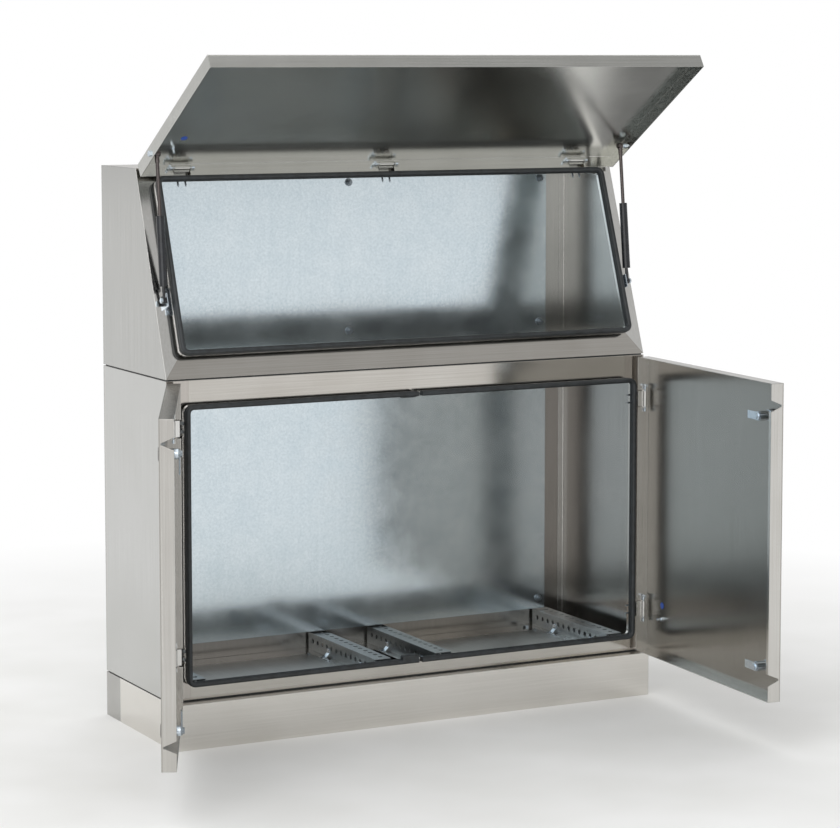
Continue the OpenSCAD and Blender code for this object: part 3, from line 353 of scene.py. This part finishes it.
FINISHES = {
    STEEL_LOWER: ["lower_left_side", "lower_right_side", "lower_rear_panel"],
    STEEL_UPPER: ["upper_left_side", "upper_right_side", "upper_rear_panel"],
    STEEL_LEFT: ["left_door"],
    STEEL_RIGHT: ["right_door"],
    STEEL_PLINTH: ["plinth_front"],
    STEEL_LEVEL: ["lower_roof", "lower_floor", "upper_floor", "upper_roof"],
    STEEL_REAR: ["plinth_rear"],
    STEEL_LID: ["lid", "lid_hinge_brackets", "lid_hinge_lugs"],
    STEEL_HINGE_PAINTED_LIGHT: ["left_hinge_brackets", "right_hinge_brackets", "left_door_hinge_lugs",
                    "right_door_hinge_lugs"],
    STEEL_DEEP: ["gland_plate_left", "gland_plate_right"],
    LOWER_FRAME: ["lower_front_frame"],
    UPPER_FRAME: ["upper_front_frame"],
    GALVANISED: ["lower_mounting_plate", "upper_mounting_plate"],
    GALVANISED_RAIL: ["floor_rail_left", "floor_rail_mid_left", "floor_rail_mid_right", "floor_rail_right"],
    ZINC: ["frame_bolts", "rail_tabs", "strut_brackets", "left_door_hinge_pins", "right_door_hinge_pins",
           "lid_hinge_pins", "left_door_earth_stud", "right_door_earth_stud", "lid_earth_stud",
           "lid_strut_studs", "right_upper_cam", "right_lower_cam", "left_door_lock_nuts",
           "right_door_lock_nuts"],
    ZINC_DULL: ["left_upper_cam", "left_lower_cam", "lower_plate_studs", "upper_plate_studs", "sheet_screws"],
    NITRIDED: ["left_strut_rod", "right_strut_rod"],
    RUBBER: ["joint_seals", "lower_gasket", "upper_gasket"],
    BLACK: ["left_strut_barrel", "right_strut_barrel", "left_door_locks", "right_door_locks"],
}
for finish, names in FINISHES.items():
    for name in names:
        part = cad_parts[name]
        part.data.materials.clear()
        part.data.materials.append(finish)


# Pieces

def grid_piece(name, points, material, closed=True):
    """A mesh from points in mm on a grid of rows and columns.

    A closed piece joins its last column to its first and caps its first and last row. Its volume, the sum of
    a . (b x c) / 6 over its triangles, is made positive so that the faces point outwards.
    """
    points = points * MM
    rows, cols = points.shape[:2]
    i, j = np.meshgrid(np.arange(rows - 1), np.arange(cols if closed else cols - 1), indexing="ij")
    k = (j + 1) % cols
    quads = np.stack([i * cols + j, i * cols + k, (i + 1) * cols + k, (i + 1) * cols + j], -1).reshape(-1, 4)
    flat = points.reshape(-1, 3)
    ends = []
    if closed:
        a, b, c, d = (flat[quads[:, corner]] - flat.mean(0) for corner in range(4))
        ends = [np.arange(cols)[::-1], np.arange((rows - 1) * cols, rows * cols)]
        if (a * np.cross(b, c)).sum() + (a * np.cross(c, d)).sum() < 0:
            quads, ends = quads[:, ::-1], [end[::-1] for end in ends]
    mesh = bpy.data.meshes.new(name)
    mesh.from_pydata(flat.tolist(), [], quads.tolist() + [end.tolist() for end in ends])
    mesh.materials.append(material)
    mesh.shade_smooth()
    mesh.set_sharp_from_angle(angle=math.radians(50))
    piece = bpy.data.objects.new(name, mesh)
    bpy.context.scene.collection.objects.link(piece)
    return piece


def turn_about(points, centre, angle, first, second):
    """Turns points by an angle about a centre, in the plane of two axes."""
    turned = points.copy()
    a, b = points[..., first] - centre[0], points[..., second] - centre[1]
    turned[..., first] = centre[0] + a * math.cos(angle) - b * math.sin(angle)
    turned[..., second] = centre[1] + a * math.sin(angle) + b * math.cos(angle)
    return turned


def settle(piece, body, slot, *nodes):
    """Says what a piece rides on and which nodes it stands for, which it hides. The slot is not used."""
    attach(piece, body)
    if nodes:
        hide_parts(*nodes)


# Gasket: a clip with a waist, and a round sealing bulb in front of it
GASKET_HALF, GASKET_BACK, GASKET_FRONT = 5.5, 13.0, 30.2
WAIST_AT, BULB_FROM = 20.5, 22.5
BULB_MID = BULB_FROM + 2.2
CLEAR = 0.1             # kept free beside what a piece meets
SLIT = 4.5              # half of the slit in the lower gasket
BLOCK_LEN, BLOCK_BACK = 42.0, FRONT_Y - GASKET_BACK - CLEAR
LOW_BLOCK_TALL, HIGH_BLOCK_TALL, HIGH_BLOCK_DEEP = 14.4, 8.9, 3.3


def gasket_section():
    """Half width against distance forwards: a clip, a waist and half an ellipse, then their mirror image."""
    turn = np.linspace(0.0, np.pi / 2, 9)
    # Inset from the half width, and distance forwards
    clip = np.array([(1.2, GASKET_BACK + 0.05), (0.2, GASKET_BACK + 1.0), (0.1, GASKET_BACK + 3.0),
                     (0.3, WAIST_AT - 2.2), (1.3, WAIST_AT - 0.6), (1.3, WAIST_AT + 0.6), (0.4, BULB_FROM)])
    out = np.concatenate([GASKET_HALF - clip[:, 0], GASKET_HALF * np.cos(turn)])
    at = np.concatenate([clip[:, 1], BULB_MID + (GASKET_FRONT - CLEAR - BULB_MID) * np.sin(turn)])
    return np.concatenate([out, -out[::-1][1:]]), np.concatenate([at, at[::-1][1:]])


def round_collar(section, side, low, high, gap, place):
    """A section carried along half of a collar, from the middle of the bottom round one side to the top.

    Point = path + outwards * normal, set forwards by the section; the path is straight, a quarter circle,
    straight, a quarter circle and straight.
    """
    half, radius = HALF_W - COLLAR_SIDE - SHEET / 2, COLLAR_R - SHEET / 2
    turn = np.linspace(0.0, np.pi / 2, 10)
    run = np.linspace(gap, half - radius, 16)[:-1]
    sin, cos, none = np.sin(turn), np.cos(turn), np.zeros_like(run)
    x = np.concatenate([run, half - radius + radius * sin, half - radius + radius * cos, run[::-1]])
    z = np.concatenate([none + low, low + radius - radius * cos, high - radius + radius * sin, none + high])
    normal_x = np.concatenate([none, sin, cos, none])
    normal_z = np.concatenate([none - 1, -cos, sin, none + 1])
    out, at = section
    wide = side * (x[:, None] + normal_x[:, None] * out)
    tall = z[:, None] + normal_z[:, None] * out
    return place(wide, tall, np.broadcast_to(at, wide.shape))


def bend_section(radius=3.0):
    """The bend at the root of a collar: a concave quarter circle between the frame and the collar."""
    turn = np.linspace(0, np.pi / 2, 9)
    out = SHEET / 2 + radius * (1 - np.cos(turn))
    at = radius * (1 - np.sin(turn))
    return np.append(out, SHEET / 4), np.append(at, -SHEET / 4)


def pillow(name, low, high, power=6.0):
    """A rubber block with soft edges between two corners: |x|^p + |y|^p + |z|^p = 1, with flat ends."""
    around = np.linspace(0, 2 * np.pi, 48, endpoint=False)
    end = 1.45              # just short of a quarter turn, which leaves the flat ends
    u, v = np.meshgrid(np.linspace(-end, end, 25), around, indexing="ij")
    waves = np.stack([np.cos(u), np.sin(u), np.cos(v), np.sin(v)])
    cu, su, cv, sv = np.sign(waves) * np.abs(waves) ** (2 / power)
    low, high = np.array(low), np.array(high)
    unit = np.stack([su, cu * cv, cu * sv], -1)
    return grid_piece(name, (low + high) / 2 + unit * (high - low) / 2, RUBBER)


lower_ring = (LOWER_COLLAR[0] + SHEET / 2, LOWER_Z[1] - LOWER_Z[0] - LOWER_COLLAR[1] - SHEET / 2)
upper_ring = (UPPER_COLLAR[0] + SHEET / 2, SLOPE_LEN - UPPER_COLLAR[1] - SHEET / 2)
for side_name, side in (("left", -1), ("right", 1)):
    for level, ring, gap, place in (("lower", lower_ring, SLIT, on_lower_front),
                                    ("upper", upper_ring, 0.0, on_upper_front)):
        gasket = round_collar(gasket_section(), side, *ring, gap, place)
        gasket = grid_piece(level + "_gasket_" + side_name, gasket, RUBBER)
        settle(gasket, "cabinet", "rubber", level + "_gasket")
        bend = round_collar(bend_section(), side, *ring, gap, place)
        settle(grid_piece(level + "_collar_bend_" + side_name, bend, STEEL_BEND), "cabinet", "stainless")
low_z, high_z = (LOWER_Z[0] + z for z in lower_ring)
settle(pillow("gasket_block_low", (-SLIT - BLOCK_LEN, FRONT_Y - GASKET_FRONT + 2 * CLEAR, low_z),
              (-SLIT, BLOCK_BACK, low_z + LOW_BLOCK_TALL)), "cabinet", "rubber", "lower_gasket")
settle(pillow("gasket_block_high",
              (-SLIT - BLOCK_LEN, BLOCK_BACK - HIGH_BLOCK_DEEP, high_z - HIGH_BLOCK_TALL),
              (-SLIT, BLOCK_BACK, high_z)), "cabinet", "rubber", "lower_gasket")


def corner_bend(name, side, low, high, radius=4.0):
    """The inside bend between a side and the rear panel: a concave quarter circle carried up the corner."""
    turn = np.linspace(0, np.pi / 2, 9)
    corner_x, corner_y = HALF_W - SHEET, REAR_Y - SHEET
    x = np.append(corner_x - radius * (1 - np.sin(turn)), corner_x)
    y = np.append(corner_y - radius * (1 - np.cos(turn)), corner_y)
    ends = [np.stack([side * x, y, np.full_like(x, z)], -1) for z in (low, high)]
    return grid_piece(name, np.stack(ends), STEEL_BEND)


for side_name, side in (("left", -1), ("right", 1)):
    for level, (low, high) in (("lower", LOWER_Z), ("upper", UPPER_Z)):
        bend = corner_bend(level + "_" + side_name + "_bend", side, low + SHEET + CLEAR, high - SHEET - CLEAR)
        settle(bend, "cabinet", "stainless")


# Earth discs, above the earth studs
DISC_X, DISC_Z = 523.5, 221.0
LID_DISC = (-530.0, 360.0)   # x and distance up the leaning front when the lid is shut
# Share of the radius and height in mm, from the rim to the middle
DISC_PROFILE = ((1.0, 0.1), (1.0, 0.5), (0.97, 0.6), (0.85, 0.66), (0.6, 0.78), (0.3, 0.87), (0.02, 0.9))


def on_right_door(u, v, rise, opened=RIGHT_OPEN):
    """On the inner face of the right door, which is swung open about its hinge line."""
    shut = np.stack([DISC_X + u, FRONT_Y - DOOR_SKIN + rise, DISC_Z + v], -1)
    return turn_about(shut, DOOR_HINGE, opened, 0, 1)


def on_left_door(u, v, rise):
    """On the left door, the mirror image of the right one with its own angle."""
    return on_right_door(u, v, rise, LEFT_OPEN) * [-1, 1, 1]


def on_lid(u, v, rise):
    """On the inner face of the lid, which is lifted about its hinge line."""
    shut = on_upper_front(LID_DISC[0] + u, LID_DISC[1] + v, DOOR_SKIN - rise)
    return turn_about(shut, LID_HINGE[1:], -LID_OPEN, 1, 2)


def earth_disc(name, place, radius=7.5):
    """A slightly domed disc: it rises from 0.6 mm at the rim to 0.9 mm, nearly as 1 - (r / radius)^2."""
    reach, rise = np.array(DISC_PROFILE).T[:, :, None]
    angle = np.linspace(0, 2 * np.pi, 40, endpoint=False)
    return grid_piece(name, place(radius * reach * np.cos(angle), radius * reach * np.sin(angle),
                                  rise + 0 * angle), BLUE)


settle(earth_disc("right_door_earth_disc", on_right_door), "right_door", "black_metal")
settle(earth_disc("left_door_earth_disc", on_left_door), "left_door", "black_metal")
settle(earth_disc("lid_earth_disc", on_lid), "lid", "black_metal")


# Camera

camera = bpy.data.objects.new("camera", bpy.data.cameras.new("camera"))
bpy.context.scene.collection.objects.link(camera)
YAW, PITCH = math.radians(27.5861), math.radians(5.5119)
camera.location = (-2.8784748, -5.6996694, 1.4859947)
ahead = Vector((math.sin(YAW) * math.cos(PITCH), math.cos(YAW) * math.cos(PITCH), -math.sin(PITCH)))
camera.rotation_euler = ahead.to_track_quat("-Z", "Y").to_euler()
camera.data.sensor_width = 36.0
camera.data.lens = 120.311
camera.data.shift_y = -0.1
camera.data.clip_end = 200
bpy.context.scene.camera = camera


# Floor, background and light, in metres
FLOOR_HALF = 30.0
FADE_FROM, FADE_TO = 1.0, 2.4           # where the floor turns into the background
DARK_REFLECTION_EDGES = (("X", 1.3, 1.44), ("Y", -0.3, 0.3))   # where the painted dark reflection begins and where it is full
DARK_REFLECTION_GLOW = 0.16
COVE_LOW, COVE_HIGH = 0.02, 0.55        # the cove's bend, as the height of a direction of length 1
COVE_GLOW, CEILING_GLOW, FILL = 0.78, 0.5, 0.6


def seen_as_background(tree):
    """1 for rays from the camera, from a mirror-like surface or through glass, otherwise 0."""
    seen = add(tree, "ShaderNodeLightPath", out="Is Camera Ray")
    for ray in ("Is Glossy Ray", "Is Transmission Ray"):
        seen = add(tree, "ShaderNodeMath", {0: seen, 1: add(tree, "ShaderNodeLightPath", out=ray)},
                   operation="MAXIMUM")
    return seen


def pale_floor():
    """Matt pale floor paint with a faint mottle, which fades into the white background away from the object.

    Reflections see a dark patch on the floor to the right and behind, which the camera doesn't see: a painted
    reflection that darkens the lid's inside.
    """
    material, tree, coords = new_material("pale_floor_paint")
    mottle = add(tree, "ShaderNodeTexNoise", {"Vector": coords, "Scale": 3.0})
    paint = add(tree, "ShaderNodeBsdfDiffuse", {"Color": tones(tree, mottle, ("#ECECEA", "#F3F3F2"))})
    glow = add(tree, "ShaderNodeEmission", {"Color": WHITE, "Strength": 1.0})
    reach = add(tree, "ShaderNodeVectorMath", {0: coords}, "Value", operation="LENGTH")
    fade = add(tree, "ShaderNodeMapRange", {"Value": reach, "From Min": FADE_FROM, "From Max": FADE_TO})
    fade = add(tree, "ShaderNodeMath", {0: fade, 1: seen_as_background(tree)}, operation="MULTIPLY")
    floor = add(tree, "ShaderNodeMixShader", {0: fade, 1: paint, 2: glow})
    # A painted reflection: a dark patch on the floor that only glossy rays see
    dark = add(tree, "ShaderNodeEmission", {"Color": WHITE, "Strength": DARK_REFLECTION_GLOW})
    flag = add(tree, "ShaderNodeLightPath", out="Is Glossy Ray")
    for axis, begin, full in DARK_REFLECTION_EDGES:
        place = add(tree, "ShaderNodeSeparateXYZ", {"Vector": coords}, axis)
        place = add(tree, "ShaderNodeMapRange", {"Value": place, "From Min": begin, "From Max": full})
        flag = add(tree, "ShaderNodeMath", {0: flag, 1: place}, operation="MULTIPLY")
    floor = add(tree, "ShaderNodeMixShader", {0: flag, 1: floor, 2: dark})
    add(tree, "ShaderNodeOutputMaterial", {"Surface": floor})
    return material


spread = np.linspace(-FLOOR_HALF, FLOOR_HALF, 5) / MM
floor_x, floor_y = np.meshgrid(spread, spread, indexing="ij")
grid_piece("floor", np.stack([floor_x, floor_y, floor_x * 0], -1), pale_floor(), closed=False)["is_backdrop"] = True

# The camera sees white; mirrors see a white cove that turns grey towards the ceiling
world = bpy.data.worlds.new("studio")
bpy.context.scene.world = world
tree = start(world)
direction = add(tree, "ShaderNodeTexCoord", out="Generated")
height = add(tree, "ShaderNodeSeparateXYZ", {"Vector": direction}, "Z")
cove = add(tree, "ShaderNodeMapRange", {"Value": height, "From Min": COVE_LOW, "From Max": COVE_HIGH,
                                        "To Min": COVE_GLOW, "To Max": CEILING_GLOW})
cove = add(tree, "ShaderNodeMath", {0: cove, 1: add(tree, "ShaderNodeLightPath", out="Is Camera Ray")},
           operation="MAXIMUM")
white = add(tree, "ShaderNodeBackground", {"Color": WHITE, "Strength": cove})
dim = add(tree, "ShaderNodeBackground", {"Color": WHITE, "Strength": FILL})
add(tree, "ShaderNodeOutputWorld",
    {"Surface": add(tree, "ShaderNodeMixShader", {0: seen_as_background(tree), 1: dim, 2: white})})


def soft_box(name, place, target, width, height, power):
    """A large rectangular lamp that faces a point."""
    lamp = bpy.data.lights.new(name, "AREA")
    lamp.shape, lamp.size, lamp.size_y, lamp.energy = "RECTANGLE", width, height, power
    holder = bpy.data.objects.new(name, lamp)
    bpy.context.scene.collection.objects.link(holder)
    holder.location = place
    holder.rotation_euler = (Vector(target) - Vector(place)).to_track_quat("-Z", "Y").to_euler()


soft_box("soft_box_left", (-2.8, -3.4, 3.0), (0, 0, 0.5), 5.0, 4.6, 95)
soft_box("soft_box_top", (-0.2, 0.5, 3.9), (0, 0, 0.8), 5.0, 4.4, 75)

bpy.context.scene.view_settings.view_transform = "Standard"
low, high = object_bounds()
